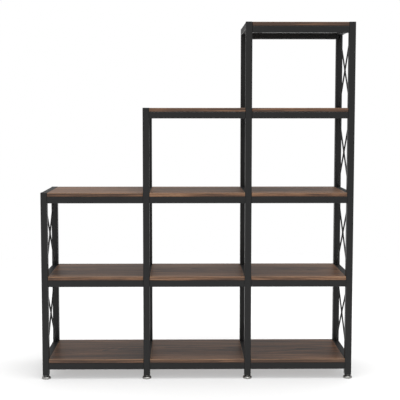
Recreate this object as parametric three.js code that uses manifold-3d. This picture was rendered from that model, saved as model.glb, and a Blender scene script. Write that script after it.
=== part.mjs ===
// A stepped, industrial bookshelf: four welded steel ladder frames of rising height stand side by
// side, joined by bolted steel rails that carry twelve wood-grain boards. Thin rods cross in the
// two end frames, and every post stands on a screw-in levelling foot.
//
// Millimetres, +Z up. X runs along the shelf, from the low end to the high end, and the front
// faces -Y. The origin is on the floor, under the middle of the shelf.

import * as THREE from "three";
import { mergeVertices } from "three/addons/utils/BufferGeometryUtils.js";
import Module from "manifold-3d";

const wasm = await Module();
wasm.setup();

// Driving dimensions of the whole shelf
const shelfWidth = 1200; // over the outer faces of the two end frames
const shelfDepth = 300; // over the front and back faces of the posts
const shelfHeight = 1374.3; // from the floor to the top of the highest board
const legLength = 24; // post below the lowest rail
const footReveal = 14; // from the floor to the post, with the foot screwed right in

// Clearances between separate pieces
const seatGap = 0.3; // where a piece rests on, or ends against, another
const studGap = 0.4; // around a stud in its hole

// Square steel tube
const tubeSide = 25;
const tubeWall = 1.2;
const tubeCornerRadius = 2;

// Welded closures of a post, and the vent between a side rail and the post it is welded to
const capPlate = 2; // plate that closes the post's top
const postProud = 0.5; // how far the post's top stands above the side rail's
const nutPlate = 6; // threaded plate flush with the post's foot
const ventRadius = 3;

// Threaded hole in a post for a rail's bolt
const boltThreadRadius = 2.5;

// Crossed rods of the end frames, cut and welded where they cross, so that they lie in one plane
const rodRadius = 3;

// Rail: an end plate with a bolt hole at each end, and a slot below that gives access to the bolt
// and to the screw that holds the board
const endPlate = 2.5;
const boltHoleRadius = 3.3;
const slotLength = 30;
const slotWidth = 13;
const slotSetback = 6; // from the end plate
const screwHoleRadius = 2.3;
const screwInset = 28; // from the end of a rail or board to the board's screw

// Board
const boardThickness = 15;
const boardEase = 1.5; // eased edges
const pilotRadius = 1.5;
const pilotDepth = 10;

// Levelling foot: a threaded stud with a hexagon, riveted so that it turns in a domed pad
const studRadius = 4;
const studReach = 26; // above the post's foot, with the foot screwed right in
const studChamfer = 1;
const hexFlats = 13;
const hexHeight = 3.2;
const rivetRadius = 5.5; // head of the stud, trapped in the pad
const rivetHeight = 2.2;
const padRadius = 18;
const padBaseRadius = 16.5;
const padFloor = 1.5; // under the rivet's pocket
const padRimLow = 1.5;
const padRimHigh = 3.5;
const padHeight = 9.8;
const padCrownRadius = 7;

// Roundness and counts
const holeSides = 6;
const studSides = 8;
const rodSides = 8;
const padSides = 14;
const domeSteps = 3;
const hexSides = 6;

// How far a cut runs past the face that it opens
const overrun = 1;

// The ladder frames from the low end to the high end: the shelves that each one reaches
const ladders = [
  { name: "left_end", levels: 3, crossed: true },
  { name: "middle_left", levels: 4, crossed: false },
  { name: "middle_right", levels: 5, crossed: false },
  { name: "right_end", levels: 5, crossed: true },
];
const bayNames = ["left", "middle", "right"];

// Places worked out from the sizes above
const topLevel = Math.max(...ladders.map(({ levels }) => levels));
const bottomRailZ = footReveal + legLength + tubeSide / 2;
const topRailZ = shelfHeight - boardThickness - seatGap - tubeSide / 2;
const levelPitch = (topRailZ - bottomRailZ) / (topLevel - 1);
const ladderPitch = (shelfWidth - tubeSide) / (ladders.length - 1);
const railLength = ladderPitch - tubeSide - 2 * seatGap;
const postY = (shelfDepth - tubeSide) / 2;
const windowDepth = shelfDepth - 2 * tubeSide;
const windowHeight = levelPitch - tubeSide;
const hollowSide = tubeSide - 2 * tubeWall;

const ladderX = (index) => (index - (ladders.length - 1) / 2) * ladderPitch;
const railZ = (level) => topRailZ - (topLevel - level) * levelPitch;
const boardZ = (level) => railZ(level) + tubeSide / 2 + seatGap;
const topZ = (level) => boardZ(level) + boardThickness;

// Materials
const blackSteel = new THREE.MeshStandardMaterial({ color: 0x2b2b2c, roughness: 0.55, metalness: 0.4 });
const walnutBoard = new THREE.MeshStandardMaterial({ color: 0x5e4636, roughness: 0.5, metalness: 0 });
const platedSteel = new THREE.MeshStandardMaterial({ color: 0xb4b5b8, roughness: 0.3, metalness: 1 });

// The solid that a closed geometry encloses.
function solidOf(geometry) {
  const bare = geometry.clone();
  bare.deleteAttribute("normal");
  bare.deleteAttribute("uv");
  const merged = mergeVertices(bare);
  return new wasm.Manifold(
    new wasm.Mesh({
      numProp: 3,
      vertProperties: merged.attributes.position.array,
      triVerts: new Uint32Array(merged.index.array),
    }),
  );
}

// A named mesh of a solid.
function meshOf(name, solid, material) {
  const { vertProperties, triVerts } = solid.getMesh();
  const indexed = new THREE.BufferGeometry();
  indexed.setAttribute("position", new THREE.BufferAttribute(vertProperties, 3));
  indexed.setIndex(new THREE.BufferAttribute(triVerts, 1));
  const geometry = indexed.toNonIndexed();
  geometry.computeVertexNormals();
  const mesh = new THREE.Mesh(geometry, material);
  mesh.name = name;
  return mesh;
}

// A block centred on the origin.
function blockSolid(x, y, z) {
  return solidOf(new THREE.BoxGeometry(x, y, z));
}

// A round bar along X, Y or Z that starts at zero.
function barSolid(axis, radius, length, sides = holeSides) {
  const bar = new THREE.CylinderGeometry(radius, radius, length, sides).translate(0, length / 2, 0);
  if (axis === "x") bar.rotateZ(-Math.PI / 2);
  if (axis === "z") bar.rotateX(Math.PI / 2);
  return solidOf(bar);
}

// The outside of a length of tube along X, Y or Z, centred across, that starts at zero.
function tubeSolid(axis, length) {
  const inner = tubeSide / 2 - tubeCornerRadius;
  const outline = new THREE.Shape();
  outline.absarc(inner, inner, tubeCornerRadius, 0, Math.PI / 2);
  outline.absarc(-inner, inner, tubeCornerRadius, Math.PI / 2, Math.PI);
  outline.absarc(-inner, -inner, tubeCornerRadius, Math.PI, 1.5 * Math.PI);
  outline.absarc(inner, -inner, tubeCornerRadius, 1.5 * Math.PI, 2 * Math.PI);
  const bar = new THREE.ExtrudeGeometry(outline, { depth: length, bevelEnabled: false, curveSegments: 1 });
  if (axis === "x") bar.rotateY(Math.PI / 2);
  if (axis === "y") bar.rotateX(-Math.PI / 2);
  return solidOf(bar);
}

// The hollow of a length of tube along X, Y or Z, centred across, that starts at zero.
function hollowSolid(axis, length) {
  const size = { x: hollowSide, y: hollowSide, z: hollowSide, [axis]: length };
  const middle = { x: 0, y: 0, z: 0, [axis]: length / 2 };
  return blockSolid(size.x, size.y, size.z).translate([middle.x, middle.y, middle.z]);
}

// One rod of a cross, centred in its window and cut where it meets the tubes. lean is 1 or -1.
function rodSolid(lean) {
  const angle = lean * Math.atan2(windowHeight, windowDepth);
  const length = Math.hypot(windowDepth, windowHeight) + tubeSide;
  const rod = new THREE.CylinderGeometry(rodRadius, rodRadius, length, rodSides)
    .rotateY(Math.PI / rodSides) // so that a flat faces along X
    .rotateX(angle);
  return solidOf(rod).intersect(blockSolid(tubeSide, windowDepth + tubeWall, windowHeight + tubeWall));
}

// One welded ladder frame. It has a side rail at each shelf that it reaches, and threaded holes
// for the rails of the shelves on its left and on its right.
function ladderSolid({ levels, crossed }, leftLevels, rightLevels) {
  const postTop = topZ(levels) + postProud;
  let frame = tubeSolid("z", postTop - footReveal).translate([0, -postY, footReveal]);
  frame = frame.add(frame.translate([0, 2 * postY, 0]));
  for (let level = 1; level <= levels; level++) {
    const z = topZ(level) - tubeSide / 2;
    const reach = windowDepth / 2 + 2 * tubeCornerRadius;
    frame = frame.add(tubeSolid("y", 2 * reach).translate([0, -reach, z]));
  }
  for (let level = 1; crossed && level < levels; level++) {
    const z = topZ(level) + windowHeight / 2;
    frame = frame.add(rodSolid(1).translate([0, 0, z])).add(rodSolid(-1).translate([0, 0, z]));
  }

  // The hollows of the posts and side rails, with the vents that join them
  const hollowLow = footReveal + nutPlate;
  for (const y of [-postY, postY]) {
    frame = frame
      .subtract(hollowSolid("z", postTop - capPlate - hollowLow).translate([0, y, hollowLow]))
      .subtract(barSolid("z", studRadius + studGap, nutPlate + 2 * overrun, studSides)
        .translate([0, y, footReveal - overrun]));
  }
  for (let level = 1; level <= levels; level++) {
    const z = topZ(level) - tubeSide / 2;
    const ventLength = windowDepth + 2 * (tubeWall + overrun);
    frame = frame
      .subtract(hollowSolid("y", windowDepth).translate([0, -windowDepth / 2, z]))
      .subtract(barSolid("y", ventRadius, ventLength).translate([0, -ventLength / 2, z]));
  }

  // The threaded holes for the rails' bolts
  const thread = barSolid("x", boltThreadRadius, tubeWall + 2 * overrun);
  for (const y of [-postY, postY]) {
    for (let level = 1; level <= leftLevels; level++) {
      frame = frame.subtract(thread.translate([-tubeSide / 2 - overrun, y, railZ(level)]));
    }
    for (let level = 1; level <= rightLevels; level++) {
      frame = frame.subtract(thread.translate([hollowSide / 2 - overrun, y, railZ(level)]));
    }
  }
  return frame;
}

// A rail along X, centred on the origin, with a plate across each end of its hollow.
function railSolid() {
  const hollowLength = railLength - 2 * endPlate;
  const boltLength = endPlate + 2 * overrun;
  const wallLength = tubeWall + 2 * overrun;
  let rail = tubeSolid("x", railLength)
    .translate([-railLength / 2, 0, 0])
    .subtract(hollowSolid("x", hollowLength).translate([-hollowLength / 2, 0, 0]));
  for (const end of [-1, 1]) {
    const bolt = barSolid("x", boltHoleRadius, boltLength)
      .translate([end * (railLength - endPlate) / 2 - boltLength / 2, 0, 0]);
    const slot = blockSolid(slotLength, slotWidth, wallLength)
      .translate([end * (hollowLength / 2 - slotSetback - slotLength / 2), 0, (tubeWall - tubeSide) / 2]);
    const screwX = end * (railLength / 2 - screwInset);
    const screw = barSolid("z", screwHoleRadius, wallLength).translate([screwX, 0, hollowSide / 2 - overrun]);
    rail = rail.subtract(bolt).subtract(slot).subtract(screw);
  }
  return rail;
}

// A board with eased edges that lies on z = 0, centred, with pilot holes over the rails' screws.
function boardSolid() {
  const x = railLength / 2 - boardEase;
  const y = shelfDepth / 2 - boardEase;
  const outline = new THREE.Shape();
  outline.moveTo(-x, -y);
  outline.lineTo(x, -y);
  outline.lineTo(x, y);
  outline.lineTo(-x, y);
  let board = solidOf(
    new THREE.ExtrudeGeometry(outline, {
      depth: boardThickness - 2 * boardEase,
      bevelSize: boardEase,
      bevelThickness: boardEase,
      bevelSegments: 1,
    }),
  ).translate([0, 0, boardEase]);
  const pilot = barSolid("z", pilotRadius, pilotDepth + overrun).translate([0, 0, -overrun]);
  const screwX = railLength / 2 - screwInset;
  for (const [left, back] of [[-1, -1], [1, -1], [-1, 1], [1, 1]]) {
    board = board.subtract(pilot.translate([left * screwX, back * postY, 0]));
  }
  return board;
}

// A solid of revolution about Z from radius and height pairs.
function turnedSolid(profile, sides) {
  const points = profile.map(([radius, height]) => new THREE.Vector2(radius, height));
  return solidOf(new THREE.LatheGeometry(points, sides).rotateX(Math.PI / 2));
}

// The pad of a foot: a low dome with a pocket that traps the stud's rivet head.
function padSolid() {
  const dome = [];
  for (let step = 0; step <= domeSteps; step++) {
    const angle = ((step / domeSteps) * Math.PI) / 2;
    dome.push([
      padCrownRadius + (padRadius - padCrownRadius) * Math.cos(angle),
      padRimHigh + (padHeight - padRimHigh) * Math.sin(angle),
    ]);
  }
  const pocketTop = padFloor + rivetHeight + 2 * seatGap;
  return turnedSolid(
    [
      [0, 0],
      [padBaseRadius, 0],
      [padRadius, padRimLow],
      ...dome,
      [studRadius + studGap, padHeight],
      [studRadius + studGap, pocketTop],
      [rivetRadius + studGap, pocketTop],
      [rivetRadius + studGap, padFloor],
      [0, padFloor],
    ],
    padSides,
  );
}

// The stud of a foot, with its hexagon just under the post and its rivet head in the pad.
function studSolid() {
  const rivetLow = padFloor + seatGap;
  const studTop = footReveal + studReach;
  const stud = turnedSolid(
    [
      [0, rivetLow],
      [rivetRadius, rivetLow],
      [rivetRadius, rivetLow + rivetHeight],
      [studRadius, rivetLow + rivetHeight],
      [studRadius, studTop - studChamfer],
      [studRadius - studChamfer, studTop],
      [0, studTop],
    ],
    studSides,
  );
  const hexagon = barSolid("z", hexFlats / 2 / Math.cos(Math.PI / hexSides), hexHeight, hexSides);
  return stud.add(hexagon.translate([0, 0, footReveal - seatGap - hexHeight]));
}

const shelf = new THREE.Group();

// The ladder frames on their feet
const pad = padSolid();
const stud = studSolid();
ladders.forEach((ladder, index) => {
  const place = new THREE.Group();
  place.position.x = ladderX(index);
  const leftLevels = Math.min(ladder.levels, ladders[index - 1]?.levels ?? 0);
  const rightLevels = Math.min(ladder.levels, ladders[index + 1]?.levels ?? 0);
  place.add(meshOf(`frame_${ladder.name}`, ladderSolid(ladder, leftLevels, rightLevels), blackSteel));
  for (const [side, y] of [["front", -postY], ["back", postY]]) {
    const padMesh = meshOf(`pad_${ladder.name}_${side}`, pad, platedSteel);
    const studMesh = meshOf(`stud_${ladder.name}_${side}`, stud, platedSteel);
    padMesh.position.y = y;
    studMesh.position.y = y;
    place.add(padMesh, studMesh);
  }
  shelf.add(place);
});

// The rails and boards of each bay
const rail = railSolid();
const board = boardSolid();
bayNames.forEach((bay, index) => {
  const place = new THREE.Group();
  place.position.x = (ladderX(index) + ladderX(index + 1)) / 2;
  const levels = Math.min(ladders[index].levels, ladders[index + 1].levels);
  for (let level = 1; level <= levels; level++) {
    for (const [side, y] of [["front", -postY], ["back", postY]]) {
      const railMesh = meshOf(`rail_${bay}_${level}_${side}`, rail, blackSteel);
      railMesh.position.set(0, y, railZ(level));
      place.add(railMesh);
    }
    const boardMesh = meshOf(`board_${bay}_${level}`, board, walnutBoard);
    boardMesh.position.z = boardZ(level);
    place.add(boardMesh);
  }
  shelf.add(place);
});

export default shelf;
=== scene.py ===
"""A stepped, industrial bookshelf of walnut boards on black square tube, in a plain studio.

Metres, +Z up. X runs along the shelf from its low end to its high end, and the front faces -Y.
"""

import logging
import math
from abc import ABC, abstractmethod
from dataclasses import dataclass, field
from enum import Enum
from typing import Callable, Mapping, Optional, Sequence, Union

import bmesh
import bpy
import numpy as np
from mathutils import Matrix, Vector
from numpy.typing import NDArray


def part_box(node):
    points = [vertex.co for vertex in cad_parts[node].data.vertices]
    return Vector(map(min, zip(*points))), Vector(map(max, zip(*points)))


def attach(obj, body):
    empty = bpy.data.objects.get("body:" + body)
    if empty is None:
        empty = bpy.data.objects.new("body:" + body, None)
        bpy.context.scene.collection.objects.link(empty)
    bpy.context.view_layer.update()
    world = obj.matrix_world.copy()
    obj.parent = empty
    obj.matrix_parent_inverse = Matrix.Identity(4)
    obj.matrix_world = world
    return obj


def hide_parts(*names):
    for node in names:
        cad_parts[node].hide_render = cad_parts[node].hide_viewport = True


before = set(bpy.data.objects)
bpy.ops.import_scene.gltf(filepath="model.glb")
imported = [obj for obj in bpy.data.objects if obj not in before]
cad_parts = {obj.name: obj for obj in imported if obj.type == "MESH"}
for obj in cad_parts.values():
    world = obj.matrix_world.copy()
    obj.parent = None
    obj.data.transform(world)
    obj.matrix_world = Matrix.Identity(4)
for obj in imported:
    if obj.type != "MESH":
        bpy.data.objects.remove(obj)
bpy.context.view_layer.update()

Array = NDArray[np.float64]
Colour = tuple[float, float, float]
Pair = tuple[float, float]
Triple = tuple[float, float, float]
Span = tuple[float, float]  # where a step begins, and where it is full
Marks = Mapping[str, Union[float, Array]]  # numbers for the points of a grid
Settings = Mapping[str, object]  # what a node is set to, by name
Value = Union["Term", float, Sequence[float], None]  # what goes into a socket
Values = Mapping[Union[int, str], Value]  # what goes into each socket that is named

log = logging.getLogger("bookshelf")

MM = 0.001
SHELF = "shelf"  # the body that everything but the feet belongs to
ROUND = 0.3  # where the middle of a small rounded edge lies, as a share of its size

# The curve of screen colours
CURVE_FOOT = 0.04045  # it is straight up to here
CURVE_SLOPE = 12.92
CURVE_OFFSET = 0.055
CURVE_POWER = 2.4


class Slot(Enum):
    """The record's names for the finishes."""

    COAT = "powder_coated_steel"
    WALNUT = "walnut_board"
    PLATED = "plated_steel"


class Axis(Enum):
    """The direction that a straight piece runs in."""

    X = 0
    Y = 1
    Z = 2


class Side(Enum):
    """The front or the back of the shelf."""

    FRONT = "front"
    BACK = "back"


# Shader nodes written as expressions


class Term:
    """The output of a shader node, which sums, products and powers can be made of."""

    def __init__(self, shader: "Shader", socket: bpy.types.NodeSocket) -> None:
        """Keeps the socket and the shader that it belongs to."""
        self.shader = shader
        self.socket = socket

    def _join(self, operation: str, first: Value, second: Value = None) -> "Term":
        """Adds the Math or Vector Math node of one operation.

        Args:
            operation: Blender's name of the operation.
            first: The first operand.
            second: The second operand, where the operation takes two.

        Returns:
            The node's output.
        """
        terms = [value for value in (first, second) if isinstance(value, Term)]
        vector = any(term.socket.type in ("VECTOR", "RGBA") for term in terms)
        kind = "ShaderNodeVectorMath" if vector else "ShaderNodeMath"
        values = {0: first} if second is None else {0: first, 1: second}
        return self.shader.out(kind, {"operation": operation}, values)

    def __add__(self, other: Value) -> "Term":
        """This plus the other."""
        return self._join("ADD", self, other)

    def __radd__(self, other: Value) -> "Term":
        """The other plus this."""
        return self._join("ADD", other, self)

    def __sub__(self, other: Value) -> "Term":
        """This less the other."""
        return self._join("SUBTRACT", self, other)

    def __rsub__(self, other: Value) -> "Term":
        """The other less this."""
        return self._join("SUBTRACT", other, self)

    def __mul__(self, other: Value) -> "Term":
        """This times the other."""
        return self._join("MULTIPLY", self, other)

    def __rmul__(self, other: Value) -> "Term":
        """The other times this."""
        return self._join("MULTIPLY", other, self)

    def __pow__(self, other: Value) -> "Term":
        """This to the power of the other."""
        return self._join("POWER", self, other)

    def fraction(self) -> "Term":
        """What this has above the whole number below it."""
        return self._join("FRACT", self)

    def swing(self, share: float) -> "Term":
        """How far noise is from its middle, times a share."""
        return (self - 0.5) * share

    def step(self, low: float, high: float) -> "Term":
        """A smooth step from 0 at low to 1 at high."""
        values = {"Value": self, "From Min": low, "From Max": high}
        return self.shader.out("ShaderNodeMapRange", {"interpolation_type": "SMOOTHSTEP"}, values)

    def length(self) -> "Term":
        """The length of this vector."""
        return self.shader.out("ShaderNodeVectorMath", {"operation": "LENGTH"}, {0: self}, "Value")

    def part(self, letter: str) -> "Term":
        """The X, Y or Z part of this vector."""
        return self.shader.out("ShaderNodeSeparateXYZ", {}, {0: self}, letter)


class Shader:
    """The node tree of a material or a world."""

    FIRST, SECOND, MIXED = 6, 7, 2  # the sockets for colours of a Mix node

    def __init__(self, owner: Union[bpy.types.Material, bpy.types.World]) -> None:
        """Empties a node tree.

        Args:
            owner: What the tree belongs to.
        """
        owner.use_nodes = True
        self.tree = owner.node_tree
        self.tree.nodes.clear()

    def node(
        self, kind: str, settings: Optional[Settings] = None, values: Optional[Values] = None
    ) -> bpy.types.Node:
        """Adds a node.

        Args:
            kind: Blender's name of the node.
            settings: What is set before the sockets, such as an operation, or a ramp's stops.
            values: A number, a vector, a colour or a link for each socket named.

        Returns:
            The node.
        """
        node = self.tree.nodes.new(kind)
        for name, setting in (settings or {}).items():
            if name == "stops":
                self._set_stops(node, setting)
            else:
                setattr(node, name, setting)
        for name, value in (values or {}).items():
            socket = node.inputs[name]
            if isinstance(value, Term):
                self.tree.links.new(value.socket, socket)
            elif socket.type == "VECTOR" and isinstance(value, (int, float)):
                socket.default_value = (value, value, value)
            elif socket.type == "RGBA" and len(value) == 3:
                socket.default_value = (*value, 1.0)
            else:
                socket.default_value = value
        return node

    def out(
        self,
        kind: str,
        settings: Optional[Settings] = None,
        values: Optional[Values] = None,
        output: Union[int, str] = 0,
    ) -> Term:
        """Adds a node and gives the output that is named, or else its first."""
        return Term(self, self.node(kind, settings, values).outputs[output])

    @staticmethod
    def _set_stops(node: bpy.types.Node, stops: Sequence[tuple[float, Colour]]) -> None:
        """Gives a ramp its stops.

        Args:
            node: The ramp.
            stops: The place and the colour of each stop, in order.
        """
        elements = node.color_ramp.elements
        while len(elements) < len(stops):
            elements.new(1.0)
        for element, (place, colour) in zip(elements, stops):
            element.position = place
            element.color = (*colour, 1.0)

    def place(self) -> Term:
        """The place of a point on the object, in metres."""
        return self.out("ShaderNodeTexCoord", output="Object")

    def direction(self) -> Term:
        """The direction that a point of a world lies in."""
        return self.out("ShaderNodeTexCoord", output="Generated")

    def mark(self, name: str) -> Term:
        """A number that the mesh holds at each of its points."""
        settings = {"attribute_type": "GEOMETRY", "attribute_name": name}
        return self.out("ShaderNodeAttribute", settings, output="Fac")

    def ramp(self, factor: Term, stops: Sequence[tuple[float, Colour]]) -> Term:
        """A colour that follows a factor through the stops."""
        return self.out("ShaderNodeValToRGB", {"stops": stops}, {0: factor}, "Color")

    def mix(self, share: Value, first: Value, second: Value) -> Term:
        """The first colour with a share of the second mixed in."""
        values = {0: share, self.FIRST: first, self.SECOND: second}
        return self.out("ShaderNodeMix", {"data_type": "RGBA"}, values, self.MIXED)

    def bump(self, relief: Term, depth: float, strength: float) -> Term:
        """The normal of a surface whose relief goes from 0 to 1 in a depth of some metres."""
        values = {"Height": relief, "Distance": depth, "Strength": strength}
        return self.out("ShaderNodeBump", {}, values)

    def blend(self, share: Term, first: Term, second: Term) -> Term:
        """The first surface shader with a share of the second mixed in."""
        return self.out("ShaderNodeMixShader", {}, {0: share, 1: first, 2: second})

    def finish(self, surface: Term, output: str = "ShaderNodeOutputMaterial") -> None:
        """Links a surface shader to the output."""
        self.node(output, {}, {"Surface": surface})


def screen(red: int, green: int, blue: int) -> Colour:
    """The linear colour of a screen colour.

    Args:
        red: The red part, from 0 to 255.
        green: The green part.
        blue: The blue part.

    Returns:
        The three linear parts, by the usual curve: a power above a short straight foot.
    """
    parts = np.array([red, green, blue]) / 255
    curved = ((parts + CURVE_OFFSET) / (1 + CURVE_OFFSET)) ** CURVE_POWER
    return tuple(np.where(parts <= CURVE_FOOT, parts / CURVE_SLOPE, curved).tolist())


# Finishes


@dataclass(frozen=True)
class Grain:
    """Cloudy noise over a surface."""

    lumps: Union[float, Triple]  # in a metre, alike or along each axis
    detail: float  # how many finer layers it has
    warp: float = 0.0  # how strongly it is twisted
    span: Optional[Span] = None  # where it steps from 0 to 1, if it does
    weight: float = 1.0  # how much it changes what it is used for

    def on(self, place: Term) -> Term:
        """Reads the noise.

        Args:
            place: Where it is read, in metres.

        Returns:
            The noise from 0 to 1, or the step that is made of it.
        """
        lumps = place * self.lumps
        values = {"Vector": lumps, "Scale": 1.0, "Detail": self.detail, "Distortion": self.warp}
        noise = place.shader.out("ShaderNodeTexNoise", {}, values)
        return noise if self.span is None else noise.step(*self.span)


class Finish(ABC):
    """A finish that pieces share."""

    slot: Slot

    @abstractmethod
    def dress(self, shader: Shader) -> dict[str, Value]:
        """Adds the finish's nodes.

        Args:
            shader: Where they go.

        Returns:
            What goes into each socket of the surface shader.
        """

    def material(self) -> bpy.types.Material:
        """Makes the material.

        Returns:
            The material, made anew.
        """
        material = bpy.data.materials.new(type(self).__name__)
        shader = Shader(material)
        shader.finish(shader.out("ShaderNodeBsdfPrincipled", {}, self.dress(shader)))
        return material


@dataclass(frozen=True)
class PowderCoat(Finish):
    """Satin charcoal powder coat: a fine orange peel, faint clouds, and edges lightened partly as
    rubbed wear and partly as a painted highlight.
    """

    slot: Slot = Slot.COAT
    colour: Colour = screen(23, 23, 23)
    cloud_colour: Colour = screen(30, 30, 30)
    rub_and_highlight_colour: Colour = screen(56, 55, 54)
    ior: float = 1.48
    shine: float = 0.34
    roughness: float = 0.46
    peel: Grain = Grain(1 / (1.1 * MM), 2.0)
    speck: Grain = Grain(1 / (0.35 * MM), 1.0, weight=0.06)
    cloud: Grain = Grain(1 / (90 * MM), 4.0, 0.4, weight=0.1)
    rub_and_highlight: Grain = Grain(45.0, 5.0, span=(0.42, 0.72), weight=0.08)
    rub_and_highlight_share: float = 0.35  # of the lighter colour, where the edge is rubbed and takes a painted highlight
    peel_share: float = 0.8  # of the relief, and the specks make the rest
    relief_depth: float = 0.012 * MM
    relief_strength: float = 0.7

    def dress(self, shader: Shader) -> dict[str, Value]:
        """Adds the coat's nodes.

        Args:
            shader: Where they go.

        Returns:
            What goes into each socket of the surface shader.
        """
        place = shader.place()
        peel, speck, cloud = (grain.on(place) for grain in (self.peel, self.speck, self.cloud))
        # painted highlight: the corners are lightened partly as rubbed wear and partly for the
        # light lines that catch on the tube's rounded corners
        rubbed_and_highlit = shader.mark("edge") * self.rub_and_highlight.on(place)
        body = shader.mix(cloud, self.colour, self.cloud_colour)
        dull = self.roughness + cloud.swing(self.cloud.weight) + speck.swing(self.speck.weight)
        relief = peel * self.peel_share + speck * (1 - self.peel_share)
        return {
            "Base Color": shader.mix(rubbed_and_highlit * self.rub_and_highlight_share, body, self.rub_and_highlight_colour),
            "Roughness": dull - rubbed_and_highlit * self.rub_and_highlight.weight,
            "Normal": shader.bump(relief, self.relief_depth, self.relief_strength),
            "IOR": self.ior,
            "Specular IOR Level": self.shine,
        }


@dataclass(frozen=True)
class WalnutBoard(Finish):
    """Dark walnut with its grain along X, and a warmer band round its edges."""

    slot: Slot = Slot.WALNUT
    dark: Colour = screen(46, 32, 25)
    brown: Colour = screen(83, 59, 43)
    warm: Colour = screen(125, 88, 62)
    pale: Colour = screen(153, 118, 89)
    stops: Sequence[float] = (0.18, 0.42, 0.62, 0.82)  # the tones of these four
    ash: Colour = screen(97, 75, 60)
    pore_colour: Colour = screen(30, 22, 18)
    ior: float = 1.5
    shine: float = 0.42
    roughness: float = 0.42
    coat: float = 0.1
    coat_change: float = 0.08
    coat_roughness: float = 0.3
    board_shift: float = 7.31  # how far along a board reads the grain, for 1 of its seed
    band_shift: Pair = (2.7, 0.61)  # how much farther its band does, along and across
    heart: Grain = Grain((1.6, 0.0, 0.0), 1.0, weight=0.3)
    bend: Grain = Grain((2.6, 9.0, 9.0), 2.0, weight=5.0)
    broad: Grain = Grain((0.8, 17.0, 17.0), 3.0, 0.3, weight=0.8)
    streak: Grain = Grain((3.4, 120.0, 120.0), 4.0, 0.2, weight=1.1)
    fibre: Grain = Grain((14.0, 620.0, 620.0), 3.0, weight=0.36)
    pore: Grain = Grain((46.0, 1500.0, 1500.0), 2.0, span=(0.6, 0.7))
    lath: Grain = Grain((7.0, 230.0, 230.0), 2.0, span=(0.34, 0.66), weight=0.36)
    flow: Grain = Grain((7.0, 60.0, 60.0), 2.0, weight=0.6)
    rings_across: float = 760.0  # growth rings, for the square of a metre off the heart
    rings_through: float = 230.0  # and for a metre of thickness
    rings_along: float = 5.0  # and for a metre of length
    ring_power: float = 3.0
    ring_depth: float = 0.34  # how much darker a growth ring's sharp side is
    tone_drop: float = 0.58  # what brings the tone down to the stops
    grey_span: Span = (0.46, 0.64)
    grey_share: float = 0.4
    band_warmth: float = 0.2
    arris_highlight: float = 0.42  # painted highlight of the arris, everywhere
    lath_highlight: float = 0.35  # and more painted highlight on its pale streaks
    pore_share: float = 0.55
    pore_roughness: float = 0.1
    fibre_roughness: float = 0.14
    pore_relief: float = 0.7
    fibre_relief: float = 0.3
    relief_depth: float = 0.05 * MM
    relief_strength: float = 0.5

    def dress(self, shader: Shader) -> dict[str, Value]:
        """Adds the wood's nodes.

        The grain is noise drawn out along X, and each board reads it at another place. Its growth
        rings are where the square of the distance from the board's heart, less a share of the
        length, passes a whole number, so that they arch along the board. Each darkens by a third
        power and ends sharply.

        Args:
            shader: Where they go.

        Returns:
            What goes into each socket of the surface shader.
        """
        board, band = shader.place(), shader.mark("band")
        along, across = self.band_shift
        ways = {0: shader.mark("seed") * self.board_shift + band * along, 1: band * across}
        place = board + shader.out("ShaderNodeCombineXYZ", {}, ways)
        off_heart = board.part("Y") - self.heart.on(place).swing(self.heart.weight)
        arch = off_heart * off_heart * self.rings_across + board.part("Z") * self.rings_through
        bent = self.bend.on(place) * self.bend.weight
        ring = (arch - place.part("X") * self.rings_along + bent).fraction() ** self.ring_power
        broad, streak, fibre = (grain.on(place) for grain in (self.broad, self.streak, self.fibre))
        pore, lath, flow = (grain.on(place) for grain in (self.pore, self.lath, self.flow))
        tone = streak * self.streak.weight + broad * self.broad.weight - ring * self.ring_depth
        tone = tone + fibre * self.fibre.weight - self.tone_drop
        on_band = lath.swing(self.lath.weight) + flow.swing(self.flow.weight)
        # the tone mark holds each board's own tone, and painted shade darkening its lower arris
        tone = tone + on_band * band + shader.mark("tone")
        colours = (self.dark, self.brown, self.warm, self.pale)
        colour = shader.ramp(tone, list(zip(self.stops, colours)))
        grey = broad.step(*self.grey_span) * (1 - band) * self.grey_share
        colour = shader.mix(grey, colour, self.ash)
        colour = shader.mix(band * self.band_warmth, colour, self.warm)
        # painted highlight: the upper arris is lightened towards pale, where light catches its
        # rounding
        painted_highlight = shader.mark("arris") * (lath * self.lath_highlight + self.arris_highlight)
        colour = shader.mix(painted_highlight, colour, self.pale)
        relief = 1.0 - pore * self.pore_relief + fibre * self.fibre_relief
        dull = self.roughness + fibre.swing(self.fibre_roughness) + pore * self.pore_roughness
        return {
            "Base Color": shader.mix(pore * self.pore_share, colour, self.pore_colour),
            "Roughness": dull,
            "Normal": shader.bump(relief, self.relief_depth, self.relief_strength),
            "IOR": self.ior,
            "Specular IOR Level": self.shine,
            "Coat Weight": self.coat + streak.swing(self.coat_change),
            "Coat Roughness": self.coat_roughness,
        }


@dataclass(frozen=True)
class PlatedSteel(Finish):
    """Bright plating over turned or pressed steel, with faint haze and fine marks."""

    slot: Slot = Slot.PLATED
    colour: Colour = screen(178, 177, 174)
    haze_colour: Colour = screen(146, 145, 142)
    roughness: float = 0.32
    haze: Grain = Grain(160.0, 4.0, 0.6, weight=0.12)
    lathe: Grain = Grain((700.0, 700.0, 6300.0), 2.0, weight=0.06)
    relief_depth: float = 0.004 * MM
    relief_strength: float = 0.4

    def dress(self, shader: Shader) -> dict[str, Value]:
        """Adds the plating's nodes.

        Args:
            shader: Where they go.

        Returns:
            What goes into each socket of the surface shader.
        """
        place = shader.place()
        haze, lathe = self.haze.on(place), self.lathe.on(place)
        dull = self.roughness + haze * self.haze.weight + lathe.swing(self.lathe.weight)
        return {
            "Base Color": shader.mix(haze, self.colour, self.haze_colour),
            "Metallic": 1.0,
            "Roughness": dull,
            "Normal": shader.bump(lathe, self.relief_depth, self.relief_strength),
        }


# Surfaces


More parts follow.
